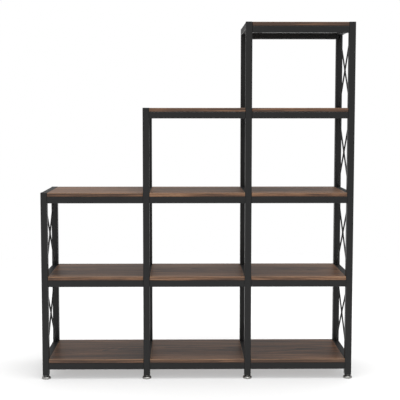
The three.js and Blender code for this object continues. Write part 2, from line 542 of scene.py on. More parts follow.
class Skin:
    """Gathers grids of points and welds them into the one closed mesh of a piece."""

    WELD = 1e-6  # points closer than this become one
    CREASE = math.radians(38)  # faces that meet at more than this keep a sharp edge

    def __init__(self) -> None:
        """Starts with no points."""
        self.points: list[Array] = []
        self.faces: list[list[int]] = []
        self.marks: dict[str, list[Array]] = {}
        self.count = 0

    def grid(
        self,
        points: Array,
        marks: Optional[Marks] = None,
        keep: Optional[NDArray[np.bool_]] = None,
    ) -> NDArray[np.int64]:
        """Adds a grid of quads whose last column joins the first.

        Corner (i, j) of a cell joins (i, j + 1), (i + 1, j + 1) and (i + 1, j).

        Args:
            points: The points, as rows, columns and 3.
            marks: Numbers for the points, each of a shape that spreads over rows and columns.
            keep: Which cells are made. All are, without it.

        Returns:
            The number of each point, as rows and columns.
        """
        rows, columns = points.shape[:2]
        marks = marks or {}
        number = self.count + np.arange(rows * columns).reshape(rows, columns)
        right = np.roll(number, -1, axis=1)
        cells = np.stack([number[:-1], right[:-1], right[1:], number[1:]], axis=-1)
        self.faces.extend((cells if keep is None else cells[keep]).reshape(-1, 4).tolist())
        self.points.append(points.reshape(-1, 3))
        for name in {**self.marks, **marks}:
            before = self.marks.setdefault(name, [np.zeros(self.count)])
            before.append(np.broadcast_to(marks.get(name, 0.0), (rows, columns)).reshape(-1))
        self.count += rows * columns
        return number

    def close(self, ring: NDArray[np.int64]) -> None:
        """Closes a ring of points with a flat face."""
        self.faces.append(ring.tolist())

    def tube(self, rings: Array, marks: Optional[Marks] = None) -> None:
        """Adds a stack of rings whose first and last are closed by a flat face.

        Args:
            rings: The rings, as rows, columns and 3.
            marks: Numbers for the points, as a grid takes them.
        """
        number = self.grid(rings, marks)
        self.close(number[0, ::-1])
        self.close(number[-1])

    def piece(self, name: str, finish: Finish, material: bpy.types.Material) -> bpy.types.Object:
        """Makes the welded mesh with its faces outward, and its object.

        Args:
            name: The piece's name.
            finish: The finish that it takes; not used here.
            material: The finish's material.

        Returns:
            The object, linked to the scene.
        """
        mesh = bpy.data.meshes.new(name)
        mesh.from_pydata(np.concatenate(self.points), [], self.faces)
        for mark, values in self.marks.items():
            layer = mesh.attributes.new(mark, "FLOAT", "POINT")
            layer.data.foreach_set("value", np.concatenate(values).astype(np.float32))
        shell = bmesh.new()
        shell.from_mesh(mesh)
        bmesh.ops.remove_doubles(shell, verts=shell.verts, dist=self.WELD)
        bmesh.ops.recalc_face_normals(shell, faces=shell.faces)
        shell.to_mesh(mesh)
        shell.free()
        mesh.shade_smooth()
        mesh.set_sharp_from_angle(angle=self.CREASE)
        mesh.materials.append(material)
        made = bpy.data.objects.new(name, mesh)
        bpy.context.scene.collection.objects.link(made)
        normals = made.modifiers.new("even", "WEIGHTED_NORMAL")
        normals.keep_sharp = True
        log.info("%s: %d faces", name, len(mesh.polygons))
        return made


def laid(rings: Array, along: Array, axis: Axis, centre: Sequence[float]) -> Array:
    """Lays outlines across an axis.

    Args:
        rings: The outlines, as rows, columns and 2. They lie across the axis in right-hand order.
        along: Each row's place along the axis, or one for every point.
        axis: The axis.
        centre: The point that the outlines and the places are measured from.

    Returns:
        The points, as rows, columns and 3.
    """
    rows, columns = rings.shape[:2]
    points = np.empty((rows, columns, 3))
    points[..., axis.value] = np.reshape(along, (rows, -1))
    points[..., (axis.value + 1) % 3] = rings[..., 0]
    points[..., (axis.value + 2) % 3] = rings[..., 1]
    return points + np.asarray(centre)


def quarter_turn(points: int) -> Array:
    """Angles that are spread evenly over a quarter turn, both ends among them."""
    return np.linspace(0, np.pi / 2, points)


def full_turn(columns: int) -> Array:
    """Angles that are spread evenly round a full turn."""
    return np.arange(columns) * 2 * np.pi / columns


def spokes(angle: Array) -> Array:
    """The point at distance 1 in the direction of each angle: its cosine and its sine."""
    return np.stack([np.cos(angle), np.sin(angle)], axis=-1)


@dataclass(frozen=True)
class TurnedShape:
    """A turned piece with flats: rings of a radius, a height and a share of hexagon."""

    columns: int

    def hexagon(self) -> Array:
        """A hexagon's reach in each column: 1 over the cosine from the nearest flat's middle."""
        return 1 / np.cos((full_turn(self.columns) % (np.pi / 3)) - np.pi / 6)

    def rings(self, profile: Sequence[Triple]) -> tuple[Array, Array]:
        """The rings of a profile.

        A ring's distance from the axis is its radius times 1 plus its share of what a hexagon
        adds at that angle.

        Args:
            profile: The radius, the height and the share of hexagon of each ring.

        Returns:
            The outlines, as rows, columns and 2, and the height of every point.
        """
        radius, height, share = (np.array(column)[:, None] for column in zip(*profile))
        reach = radius * (1 + share * (self.hexagon() - 1))
        heights = np.broadcast_to(height, reach.shape)
        return reach[..., None] * spokes(full_turn(self.columns)), heights


@dataclass(frozen=True)
class TubeSection:
    """Square steel tube with rounded corners."""

    side: float = 25 * MM
    wall: float = 1.2 * MM
    corner: float = 2 * MM
    flat_mark: float = 6.5 * MM  # where each flat has two more points, at the width of a slot
    steps: int = 5

    @property
    def half(self) -> float:
        """Half the tube's side."""
        return self.side / 2

    def outline(self, inset: Union[float, Sequence[float]] = 0.0) -> Array:
        """Outlines of the tube, each drawn in by its inset.

        One quarter is an arc about the corner's centre and two points on the flat after it. It is
        turned by a right angle three times.

        Args:
            inset: How far each outline is drawn in.

        Returns:
            The outlines, as rows, columns and 2.
        """
        inset = np.atleast_1d(np.asarray(inset, float))
        radius = (self.corner - inset)[:, None, None]
        centre = self.half - self.corner
        arc = centre + radius * spokes(quarter_turn(self.steps + 1))
        flat = np.empty((len(inset), 2, 2))
        flat[..., 0] = (self.flat_mark, -self.flat_mark)
        flat[..., 1] = self.half - inset[:, None]
        quarter = np.concatenate([arc, flat], axis=1)
        turn = full_turn(4)
        turns = np.array([[np.cos(turn), -np.sin(turn)], [np.sin(turn), np.cos(turn)]])
        return np.einsum("abq,mkb->mqka", turns, quarter).reshape(len(inset), -1, 2)

    def edge(self) -> Array:
        """How near each point of an outline is to a corner's ridge, from 0 to 1."""
        arc = np.sin(2 * quarter_turn(self.steps + 1))
        return np.tile(np.concatenate([arc, np.zeros(2)]), 4)

    def slot_column(self) -> int:
        """The column of cells between the two points on the bottom flat."""
        quarter = self.steps + 3  # the points of an arc and two on the flat
        return 2 * quarter + self.steps + 1

    def hole(self, radius: float) -> Array:
        """A round outline whose points face the tube's, as 1, columns and 2."""
        x, y = self.outline().T
        return radius * spokes(np.arctan2(y, x).T)


@dataclass(frozen=True)
class Bead:
    """Weld beads: rippled rods with drawn-in ends, and lumpy balls."""

    radius: float = 2.1 * MM
    end: float = 0.1  # of the radius, at both ends
    ripple: float = 1.5 * MM
    swell: float = 0.07
    columns: int = 10
    samples: int = 4  # for each ripple
    edge: float = 0.4  # how far its coat is rubbed and lightened as a painted highlight, as a share of a tube's edge
    ball_rows: int = 9
    ball_columns: int = 16
    ball_pole: float = 0.08  # the angle from each pole to the first ring
    ball_swell: float = 0.06
    ball_edge: float = 0.3

    def line(self, skin: Skin, middle: Sequence[float], length: float) -> None:
        """Adds a bead along X.

        Its radius falls to a small share at the ends by the root of 1 less the sixth power of
        the distance, and a cosine along it makes the ripples.

        Args:
            skin: Where it goes.
            middle: The middle of the bead.
            length: Its length.
        """
        share = np.linspace(-1, 1, int(length / self.ripple * self.samples))
        taper = np.maximum(np.sqrt(1 - share**6), self.end)
        waves = 1 + self.swell * np.cos(np.pi * share * length / self.ripple)
        rings = (self.radius * taper * waves)[:, None, None] * spokes(full_turn(self.columns))
        skin.tube(laid(rings, share * length / 2, Axis.X, middle), {"edge": self.edge})

    def ball(self, skin: Skin, middle: Sequence[float], size: Triple, turn: float) -> None:
        """Adds a lumpy ball.

        Its rings follow a half turn from pole to pole. A sine of both angles makes the lumps.

        Args:
            skin: Where it goes.
            middle: The middle of the ball.
            size: Its half sizes.
            turn: An angle that sets its lumps apart from another's.
        """
        fall = np.linspace(self.ball_pole, np.pi - self.ball_pole, self.ball_rows)[:, None]
        around = full_turn(self.ball_columns)[None]
        lump = 1 + self.ball_swell * np.sin(3 * around + turn) * np.sin(2 * fall + turn)
        out, up = lump * np.sin(fall), lump * np.cos(fall)
        ball = np.stack([out * np.cos(around), out * np.sin(around), up], axis=-1)
        skin.tube(ball * np.asarray(size) + np.asarray(middle), {"edge": self.ball_edge})


# The shelf


@dataclass
class Workshop:
    """The finishes of the shelf, with their materials made once."""

    coat: Finish = PowderCoat()
    walnut: Finish = WalnutBoard()
    nickel: Finish = PlatedSteel()
    zinc: Finish = PlatedSteel(
        colour=screen(120, 119, 116), haze_colour=screen(82, 81, 80), roughness=0.36
    )
    made: dict[Finish, bpy.types.Material] = field(default_factory=dict)

    def make(
        self,
        name: str,
        finish: Finish,
        fill: Callable[..., None],
        *sizes: float,
        body: str = SHELF,
        nodes: Sequence[str] = (),
    ) -> None:
        """Makes a piece that rides on a body.

        Args:
            name: Its name.
            finish: Its finish.
            fill: The method that adds its surface to a skin.
            sizes: What that method takes after the skin.
            body: The body that it moves with.
            nodes: The solids that it stands for.
        """
        skin = Skin()
        fill(skin, *sizes)
        if finish not in self.made:
            self.made[finish] = finish.material()
        piece = skin.piece(name, finish, self.made[finish])
        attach(piece, body)
        if nodes:
            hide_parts(*nodes)


@dataclass
class LadderFrame:
    """A welded frame: two posts, a side rail for each shelf, and crossed rods in an end frame."""

    name: str
    levels: Sequence[float]  # the height of the middle of each side rail
    crossed: bool
    section: TubeSection = TubeSection()
    nut_plate: float = 6 * MM
    stud_hole: float = 4.4 * MM
    foot_ease: float = 0.25 * MM
    top_ease: float = 0.5 * MM
    seam_drop: float = 2 * MM  # the ground weld of the top plate, below the top
    seam_width: float = 0.5 * MM
    seam_bed: float = 0.2 * MM
    seam_depth: float = 0.12 * MM
    weld_sink: float = 2.5 * MM  # how far a side rail reaches into a post
    rod_radius: float = 3 * MM
    rod_sink: float = 1.5 * MM  # how far a rod reaches past the window's corner
    rod_ease: float = 0.75 * MM
    rod_end: float = 0.8  # of its radius, at both ends
    rod_columns: int = 24
    bead: Bead = Bead()
    bead_out: float = 0.35  # how far a bead's middle lies out of the corner, in its radius
    corner_weld: Triple = (4.6 * MM, 4.2 * MM, 4.4 * MM)  # half sizes, at a rod's end
    corner_inset: Pair = (3 * MM, 3.4 * MM)  # from the window's corner, in depth and height
    cross_weld: Triple = (1.9 * MM, 2.6 * MM, 2.4 * MM)  # half sizes, where two rods cross
    cross_offset: Triple = (2.2 * MM, 0.6 * MM, 2.6 * MM)  # from the point where they cross

    @property
    def node(self) -> str:
        """The name of the frame's solid."""
        return f"frame_{self.name}"

    def build(self, shop: Workshop) -> None:
        """Makes the frame's pieces.

        Args:
            shop: What makes them.
        """
        low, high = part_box(self.node)
        self.x = (low.x + high.x) / 2
        self.foot, self.top = low.z, high.z
        self.post_y = high.y - self.section.half
        self.inner_y = self.post_y - self.section.half
        pieces = [
            (f"post_{self.name}_{Side.FRONT.value}", self.post, -self.post_y),
            (f"post_{self.name}_{Side.BACK.value}", self.post, self.post_y),
        ]
        for number, z in enumerate(self.levels, 1):
            pieces.append((f"side_rail_{self.name}_{number}", self.side_rail, z))
        for number, window in enumerate(self.windows(), 1):
            for lean, word in ((1, "rising"), (-1, "falling")):
                pieces.append((f"rod_{self.name}_{number}_{word}", self.rod, *window, lean))
        pieces.append((f"welds_{self.name}", self.welds))
        for name, fill, *sizes in pieces:
            shop.make(name, shop.coat, fill, *sizes, nodes=[self.node])

    def windows(self) -> list[Pair]:
        """The middle height and half the height of each window that rods cross."""
        pairs = zip(self.levels, self.levels[1:]) if self.crossed else ()
        return [((low + high) / 2, (high - low) / 2 - self.section.half) for low, high in pairs]

    def post(self, skin: Skin, y: float) -> None:
        """Adds a post with an eased top, the ground seam of its top plate and a hole in its foot.

        The outline is carried up through stations that each have a height and an inset.

        Args:
            skin: Where it goes.
            y: The post's place from front to back.
        """
        seam, ease = self.top - self.seam_drop, self.top_ease
        stations = [
            (self.foot, self.foot_ease),
            (self.foot + self.foot_ease, 0),
            (seam - self.seam_width / 2, 0),
            (seam - self.seam_bed / 2, self.seam_depth),
            (seam + self.seam_bed / 2, self.seam_depth),
            (seam + self.seam_width / 2, 0),
            (self.top - ease, 0),
            (self.top - ease * ROUND, ease * ROUND),
            (self.top, ease),
        ]
        height, inset = map(np.array, zip(*stations))
        outline = self.section.outline(inset)
        centre = (self.x, y, 0)
        number = skin.grid(laid(outline, height, Axis.Z, centre), {"edge": self.section.edge()})
        skin.close(number[-1])
        hole = np.repeat(self.section.hole(self.stud_hole), 2, axis=0)
        rings = np.concatenate([outline[:1], hole])
        heights = [self.foot, self.foot, self.foot + self.nut_plate]
        number = skin.grid(laid(rings, heights, Axis.Z, centre))
        skin.close(number[-1])

    def side_rail(self, skin: Skin, z: float) -> None:
        """Adds a side rail whose ends are let into the posts.

        Args:
            skin: Where it goes.
            z: The height of its middle.
        """
        reach = self.inner_y + self.weld_sink
        rings = self.section.outline([0.0, 0.0])
        points = laid(rings, [-reach, reach], Axis.Y, (self.x, 0, z))
        skin.tube(points, {"edge": self.section.edge()})

    def rod(self, skin: Skin, middle: float, half_height: float, lean: int) -> None:
        """Adds a round rod from corner to corner of a window.

        A circle is carried along the diagonal, and it shrinks a little at both ends.

        Args:
            skin: Where it goes.
            middle: The height of the window's middle.
            half_height: Half the height of the window.
            lean: 1 where it rises to the back, and -1 where it rises to the front.
        """
        diagonal = math.hypot(self.inner_y, half_height)
        reach = diagonal + self.rod_sink
        shank = reach - self.rod_ease
        along = np.array([-reach, -shank, 0, shank, reach])
        radius = self.rod_radius * np.array([self.rod_end, 1, 1, 1, self.rod_end])
        run = np.array([0, lean * self.inner_y, half_height]) / diagonal
        sideways = np.array([1.0, 0, 0])
        across = np.stack([sideways, np.cross(run, sideways)])
        section = spokes(full_turn(self.rod_columns)) @ across
        centre = np.array([self.x, 0, middle])
        skin.tube(centre + along[:, None, None] * run + radius[:, None, None] * section)

    def welds(self, skin: Skin) -> None:
        """Adds the beads in the corners of the side rails, and the balls that hold the rods.

        Args:
            skin: Where they go.
        """
        bead, x = self.bead, self.x
        out = bead.radius * self.bead_out
        length = self.section.side - 2 * self.section.corner
        for z in self.levels:
            faces = (-1, 1) if z < self.levels[-1] else (-1,)  # none on top of the frame
            for face in faces:
                height = z + face * (self.section.half + out)
                for side in (-1, 1):
                    bead.line(skin, (x, side * (self.inner_y - out), height), length)
        in_y, in_z = self.corner_inset
        off_x, off_y, off_z = self.cross_offset
        for middle, half_height in self.windows():
            for lean in (-1, 1):
                for end in (-1, 1):
                    y, z = end * lean * (self.inner_y - in_y), middle + end * (half_height - in_z)
                    bead.ball(skin, (x, y, z), self.corner_weld, end + lean)
                for face in (-1, 1):
                    place = (x + face * off_x, lean * off_y, middle + lean * off_z)
                    bead.ball(skin, place, self.cross_weld, face + lean)


@dataclass
class CrossRail:
    """A rail between two frames, with an end plate at each end and a slot below each bolt."""

    node: str
    name: str
    section: TubeSection = TubeSection()
    end_plate: float = 2.5 * MM
    bolt_hole: float = 3.3 * MM
    slot_length: float = 30 * MM
    slot_setback: float = 6 * MM  # from the end plate
    end_ease: float = 0.3 * MM

    def build(self, shop: Workshop) -> None:
        """Makes the rail.

        Args:
            shop: What makes it.
        """
        low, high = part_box(self.node)
        self.centre = (low + high) / 2
        self.length = high.x - low.x
        self.plate_x = self.length / 2 - self.end_plate
        shop.make(self.name, shop.coat, self.shell, nodes=[self.node])

    def shell(self, skin: Skin) -> None:
        """Adds the rail as one shell: its outside, its end plates and its hollow.

        Args:
            skin: Where it goes.
        """
        self.walls(skin)
        for end in (-1, 1):
            self.plate(skin, end)
            self.slot_wall(skin, end)

    def slot_span(self) -> Pair:
        """The nearer and the farther end of a slot from the middle of the rail."""
        far = self.plate_x - self.slot_setback
        return far - self.slot_length, far

    def walls(self, skin: Skin) -> None:
        """Adds the outer and the inner skin, with the cells of the slots left out.

        Args:
            skin: Where they go.
        """
        near, far = self.slot_span()
        half, plate, ease = self.length / 2, self.plate_x, self.end_ease
        inner = np.array([-plate, -far, -near, near, far, plate])
        outer = np.concatenate([[-half, ease - half], inner[1:-1], [half - ease, half]])
        inset = np.zeros(len(outer))
        inset[[0, -1]] = ease
        for along, insets in ((outer, inset), (inner, np.full(len(inner), self.section.wall))):
            rings = self.section.outline(insets)
            keep = np.ones((len(along) - 1, rings.shape[1]), bool)
            middle = np.abs(along[:-1] + along[1:]) / 2
            keep[(middle > near) & (middle < far), self.section.slot_column()] = False
            edge = {"edge": self.section.edge()}
            skin.grid(laid(rings, along, Axis.X, self.centre), edge, keep)

    def plate(self, skin: Skin, end: int) -> None:
        """Adds an end plate: its outer face, the bolt's hole and its inner face.

        Args:
            skin: Where it goes.
            end: 1 at the high end of the rail, and -1 at the other.
        """
        section, half = self.section, self.length / 2
        hole = section.hole(self.bolt_hole)
        rings = [section.outline(self.end_ease), hole, hole, section.outline(section.wall)]
        along = end * np.array([half, half, self.plate_x, self.plate_x])
        skin.grid(laid(np.concatenate(rings), along, Axis.X, self.centre))

    def slot_wall(self, skin: Skin, end: int) -> None:
        """Adds the cut edge of a slot: its four corners, outside and inside.

        Args:
            skin: Where it goes.
            end: 1 at the high end of the rail, and -1 at the other.
        """
        near, far = (end * reach for reach in self.slot_span())
        width, half = self.section.flat_mark, self.section.half
        corners = [(near, -width), (far, -width), (far, width), (near, width)]
        points = [[(x, y, z) for x, y in corners] for z in (-half, -half + self.section.wall)]
        skin.grid(np.array(points) + np.asarray(self.centre))


@dataclass(frozen=True)
class BoardTone:
    """How much lighter one board is than most, and how much painted highlight its upper arris
    takes.
    """

    faces: float = 0.0
    low_end: float = 0.0  # its edge band, at the end towards the shelf's low end
    high_end: float = 0.0
    arris_highlight: float = 1.0  # of the painted highlight on its upper arris


@dataclass
class ShelfBoard:
    """A board with eased edges and an edge band with a fine joint line."""

    node: str
    name: str
    seed: float
    tone: BoardTone = BoardTone()
    ease: float = 1.5 * MM
    plan_corner: float = 1.6 * MM
    least_corner: float = 0.1 * MM  # where the plan is drawn in past its corner
    joint_inset: float = 1.8 * MM
    joint_width: float = 0.3 * MM
    joint_depth: float = 0.1 * MM
    # painted highlight at the joint's groove, in the arris mark
    joint_highlight: float = 0.3
    lip_highlight: float = 0.6  # painted highlight between the joint and the arris
    field_inset: float = 8 * MM
    arris_reach: float = 4 * MM  # how far down the edge the painted arris highlight fades
    low_shade: float = 0.3  # how much darker the lower arris is
    ease_steps: int = 4
    corner_steps: int = 4

    def build(self, shop: Workshop) -> None:
        """Makes the board.

        Args:
            shop: What makes it.
        """
        low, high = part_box(self.node)
        self.centre = (low + high) / 2
        self.size = high - low
        shop.make(self.name, shop.walnut, self.surface, nodes=[self.node])

    def surface(self, skin: Skin) -> None:
        """Adds the board's surface, with its tones, its painted arris highlight and its painted
        lower arris shade as marks.

        The band's tone runs evenly from one end of the board to the other.

        Args:
            skin: Where it goes.
        """
        inset, height, *shares = self.stations()
        band, arris = (share[:, None] for share in shares)
        rings = self.outline(inset)
        tone = self.tone
        edge = tone.low_end + (tone.high_end - tone.low_end) * (rings[..., 0] / self.size.x + 0.5)
        # the arris mark holds the painted highlight of the upper arris, and the tone mark also
        # takes the painted shade of the lower arris
        marks = {
            "band": band,
            "arris": np.maximum(arris, 0) * tone.arris_highlight,
            "tone": tone.faces + (edge - tone.faces) * band + np.minimum(arris, 0),
            "seed": self.seed,
        }
        skin.tube(laid(rings, height, Axis.Z, self.centre), marks)

    def stations(self) -> Array:
        """How the plan is drawn in from the bottom face, round the edge, to the top face.

        The edge is eased by quarter circles. A fine groove marks where the band meets the face.

        Returns:
            Four rows: the inset and the height of each ring, 1 where it is on the band, and how
            much painted highlight it takes, or less than 0 where it takes painted shade.
        """
        half, ease = self.size.z / 2, self.ease
        joint, width = self.joint_inset, self.joint_width
        face = [
            (self.field_inset, half, 0.0, 0.0),
            (joint + width, half, 0.0, 0.0),
            (joint + width / 2, half - self.joint_depth, 0.5, self.joint_highlight),
            (joint, half, 1.0, self.lip_highlight),
        ]
        round_edge = [
            (ease * (1 - math.sin(turn)), half - ease * (1 - math.cos(turn)), 1.0, 1.0)
            for turn in quarter_turn(self.ease_steps + 1)
        ]
        upper = np.array([*face, *round_edge, (0.0, half - self.arris_reach, 1.0, 0.0)])
        lower = upper * (1, -1, 1, -self.low_shade)
        return np.concatenate([lower, upper[::-1]]).T

    def outline(self, inset: Array) -> Array:
        """Rectangles with rounded corners, each drawn in by its inset.

        A corner is an arc about a centre that lies the arc's radius inside both sides, turned
        into the four corners by the signs of its centre.

        Args:
            inset: How far each one is drawn in.

        Returns:
            The outlines, as rows, columns and 2.
        """
        inset = inset[:, None]
        radius = np.maximum(self.plan_corner - inset, self.least_corner)
        turn = quarter_turn(self.corner_steps + 1)
        angle = (full_turn(4)[:, None] + turn).reshape(-1)
        sign_x = np.repeat([1, -1, -1, 1], len(turn))
        sign_y = np.repeat([1, 1, -1, -1], len(turn))
        x = sign_x * (self.size.x / 2 - inset - radius) + radius * np.cos(angle)
        y = sign_y * (self.size.y / 2 - inset - radius) + radius * np.sin(angle)
        return np.stack([x, y], axis=-1)


@dataclass
class Fasteners:
    """The bolts of a rail's ends and the screws that hold its board."""

    rail: CrossRail
    name: str
    washer_radius: float = 5 * MM
    washer_height: float = 1 * MM
    head_radius: float = 4 * MM
    head_height: float = 3.4 * MM
    head_curve: Sequence[Pair] = ((1, 0.55), (0.9, 0.82), (0.68, 1))  # shares of the two above
    socket_flats: float = 1.5 * MM
    socket_depth: float = 1.8 * MM
    bolt_radius: float = 2.4 * MM
    bolt_reach: float = 7 * MM  # past the end plate
    bolt_tip: float = 0.8  # of its radius
    bolt_tip_height: float = 0.6 * MM
    screw_head: float = 3.8 * MM
    screw_head_height: float = 2.4 * MM
    screw_curve: Sequence[Pair] = ((1, 0.35), (0.86, 0.75), (0.6, 1))  # shares of the two above
    screw_recess: Pair = (0.9, 0.25)  # the socket's bottom, in its flats and the head's height
    screw_radius: float = 1.9 * MM
    screw_reach: float = 11 * MM  # above the inner face of the rail's roof
    screw_tip: float = 0.3 * MM
    screw_tip_height: float = 3 * MM
    screw_inset: float = 28 * MM  # from the end of the rail
    shape: TurnedShape = TurnedShape(24)

    def build(self, shop: Workshop) -> None:
        """Makes the bolts and the screws of the rail as two pieces."""
        shop.make(f"bolts_{self.name}", shop.zinc, self.bolts)
        shop.make(f"board_screws_{self.name}", shop.zinc, self.screws)

    def bolts(self, skin: Skin) -> None:
        """Adds a socket-head bolt with its washer at each end, through the plate into the post.

        Args:
            skin: Where they go.
        """
        washer, head = self.washer_height, self.head_height
        top, tip = washer + head, -self.bolt_reach - self.rail.end_plate
        profile = [
            (self.bolt_radius * self.bolt_tip, tip, 0),
            (self.bolt_radius, tip + self.bolt_tip_height, 0),
            (self.bolt_radius, 0, 0),
            (self.washer_radius, 0, 0),
            (self.washer_radius, washer, 0),
            (self.head_radius, washer, 0),
            *((self.head_radius * out, washer + head * up, 0) for out, up in self.head_curve),
            (self.socket_flats, top, 1),
            (self.socket_flats, top - self.socket_depth, 1),
        ]
        rings, heights = self.shape.rings(profile)
        x, y, z = self.rail.centre
        for end in (-1, 1):
            seat = (x + end * self.rail.plate_x, y, z)
            skin.tube(laid(rings, -end * heights, Axis.X, seat))

    def screws(self, skin: Skin) -> None:
        """Adds a pan-head screw at each end, up through the rail's roof into the board.

        Args:
            skin: Where they go.
        """
        head, recess = self.screw_head_height, self.screw_recess
        profile = [
            (self.screw_tip, self.screw_reach, 0),
            (self.screw_radius, self.screw_reach - self.screw_tip_height, 0),
            (self.screw_radius, 0, 0),
            (self.screw_head, 0, 0),
            *((self.screw_head * out, -head * down, 0) for out, down in self.screw_curve),
            (self.socket_flats, -head, 1),
            (self.socket_flats * recess[0], -head * recess[1], 1),
        ]
        rings, heights = self.shape.rings(profile)
        rail, (x, y, z) = self.rail, self.rail.centre
        roof = z + rail.section.half - rail.section.wall
        for end in (-1, 1):
            seat = (x + end * (rail.length / 2 - self.screw_inset), y, roof)
            skin.tube(laid(rings, heights, Axis.Z, seat))


@dataclass
class LevellingFoot:
    """A domed plated pad and the threaded stud that turns in it.

    Heights are counted from the underside of the pad.
    """

    name: str
    pad_radius: float = 17.5 * MM
    base_radius: float = 16.1 * MM
    rim_low: float = 1.5 * MM
    rim_high: float = 3.5 * MM
    height: float = 9.8 * MM
    crown_radius: float = 7 * MM
    bore: float = 4.4 * MM
    bore_ease: float = 0.5 * MM
    pocket_radius: float = 5.9 * MM
    pocket_low: float = 1.5 * MM
    pocket_high: float = 4.3 * MM
    rim_points: int = 6
    dome_points: int = 17
    stud_radius: float = 4 * MM
    rivet_radius: float = 5.5 * MM
    rivet_face: float = 0.94  # of its radius
    rivet_ease: float = 0.4 * MM
    rivet_low: float = 1.8 * MM
    rivet_high: float = 4 * MM
    hex_flats: float = 13 * MM
    hex_face: float = 0.97  # of half its flats, where the chamfer starts
    hex_chamfer: float = math.radians(30)
    hex_low: float = 10.5 * MM
    hex_high: float = 13.7 * MM
    stud_top: float = 40 * MM
    tip_height: float = 0.9 * MM
    tip_ease: float = 0.8 * MM
    pitch: float = 1.25 * MM
    thread_depth: float = 0.65 * MM
    thread_fade: float = 1.5 * MM  # over which it deepens at both ends
    thread_samples: int = 8  # rings for each turn of the thread
    pad_shape: TurnedShape = TurnedShape(96)
    stud_shape: TurnedShape = TurnedShape(36)

    def build(self, shop: Workshop) -> None:
        """Makes the pad and the stud, each on its own body.

        Args:
            shop: What makes them.
        """
        low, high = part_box(f"pad_{self.name}")
        self.centre = ((low.x + high.x) / 2, (low.y + high.y) / 2, low.z)
        for word, fill in (("pad", self.pad), ("stud", self.stud)):
            node = f"{word}_{self.name}"
            shop.make(f"levelling_{node}", shop.nickel, fill, body=node, nodes=[node])

    def pad(self, skin: Skin) -> None:
        """Adds the pad.

        Its foot is rounded by a quarter ellipse. Its dome is another from the rim to the crown,
        and inside are the stud's bore and the pocket of its rivet head.

        Args:
            skin: Where it goes.
        """
        base, crown, ease = self.base_radius, self.crown_radius, self.bore_ease
        foot, dome = self.pad_radius - base, self.pad_radius - crown
        rise = self.height - self.rim_high
        profile = [
            (base + foot * math.sin(turn), self.rim_low * (1 - math.cos(turn)), 0)
            for turn in quarter_turn(self.rim_points)
        ]
        profile += [
            (crown + dome * math.cos(turn), self.rim_high + rise * math.sin(turn), 0)
            for turn in quarter_turn(self.dome_points)
        ]
        profile += [
            (self.bore + ease, self.height, 0),
            (self.bore + ease * ROUND, self.height - ease * ROUND, 0),
            (self.bore, self.height - ease, 0),
            (self.bore, self.pocket_high, 0),
            (self.pocket_radius, self.pocket_high, 0),
            (self.pocket_radius, self.pocket_low, 0),
        ]
        rings, heights = self.pad_shape.rings(profile)
        skin.tube(laid(rings, heights, Axis.Z, self.centre))

    def stud(self, skin: Skin) -> None:
        """Adds the stud: its rivet head, plain neck, chamfered hexagon and thread.

        A chamfer's ring lies nearer the middle of the hexagon where its corners reach further
        out. The thread's radius falls and rises in a V with the height less the angle's share of
        the pitch, so that its crest climbs round the stud.

        Args:
            skin: Where it goes.
        """
        shape, radius, rivet = self.stud_shape, self.stud_radius, self.rivet_radius
        flats = self.hex_flats / 2
        profile = [
            (rivet * self.rivet_face, self.rivet_low, 0),
            (rivet, self.rivet_low + self.rivet_ease, 0),
            (rivet, self.rivet_high - self.rivet_ease, 0),
            (rivet * self.rivet_face, self.rivet_high, 0),
            (radius, self.rivet_high, 0),
            (radius, self.hex_low, 0),
            (flats * self.hex_face, self.hex_low, 0),
            (flats, self.hex_low, 1),
            (flats, self.hex_high, 1),
            (flats * self.hex_face, self.hex_high, 0),
        ]
        rings, heights = shape.rings(profile)
        chamfer = (shape.hexagon() - self.hex_face) * flats * math.tan(self.hex_chamfer)
        inward = np.zeros((len(profile), 1))
        inward[-3:-1, 0] = (1, -1)
        heights = heights + inward * chamfer
        rows = int((self.stud_top - self.hex_high) / self.pitch * self.thread_samples)
        climb = np.linspace(self.hex_high, self.stud_top, rows)[:, None]
        left = self.stud_top - climb
        angle = np.arange(shape.columns) / shape.columns
        wave = np.abs(((climb / self.pitch - angle) % 1) * 2 - 1)
        fade = np.clip(np.minimum(climb - self.hex_high, left) / self.thread_fade, 0, 1)
        reach = radius - self.thread_depth * (1 - wave) * fade
        reach = reach - self.tip_ease * np.clip(1 - left / self.tip_height, 0, 1)
        rings = np.concatenate([rings, reach[..., None] * spokes(full_turn(shape.columns))])
        heights = np.concatenate([heights, np.broadcast_to(climb, reach.shape)])
        skin.tube(laid(rings, heights, Axis.Z, self.centre))


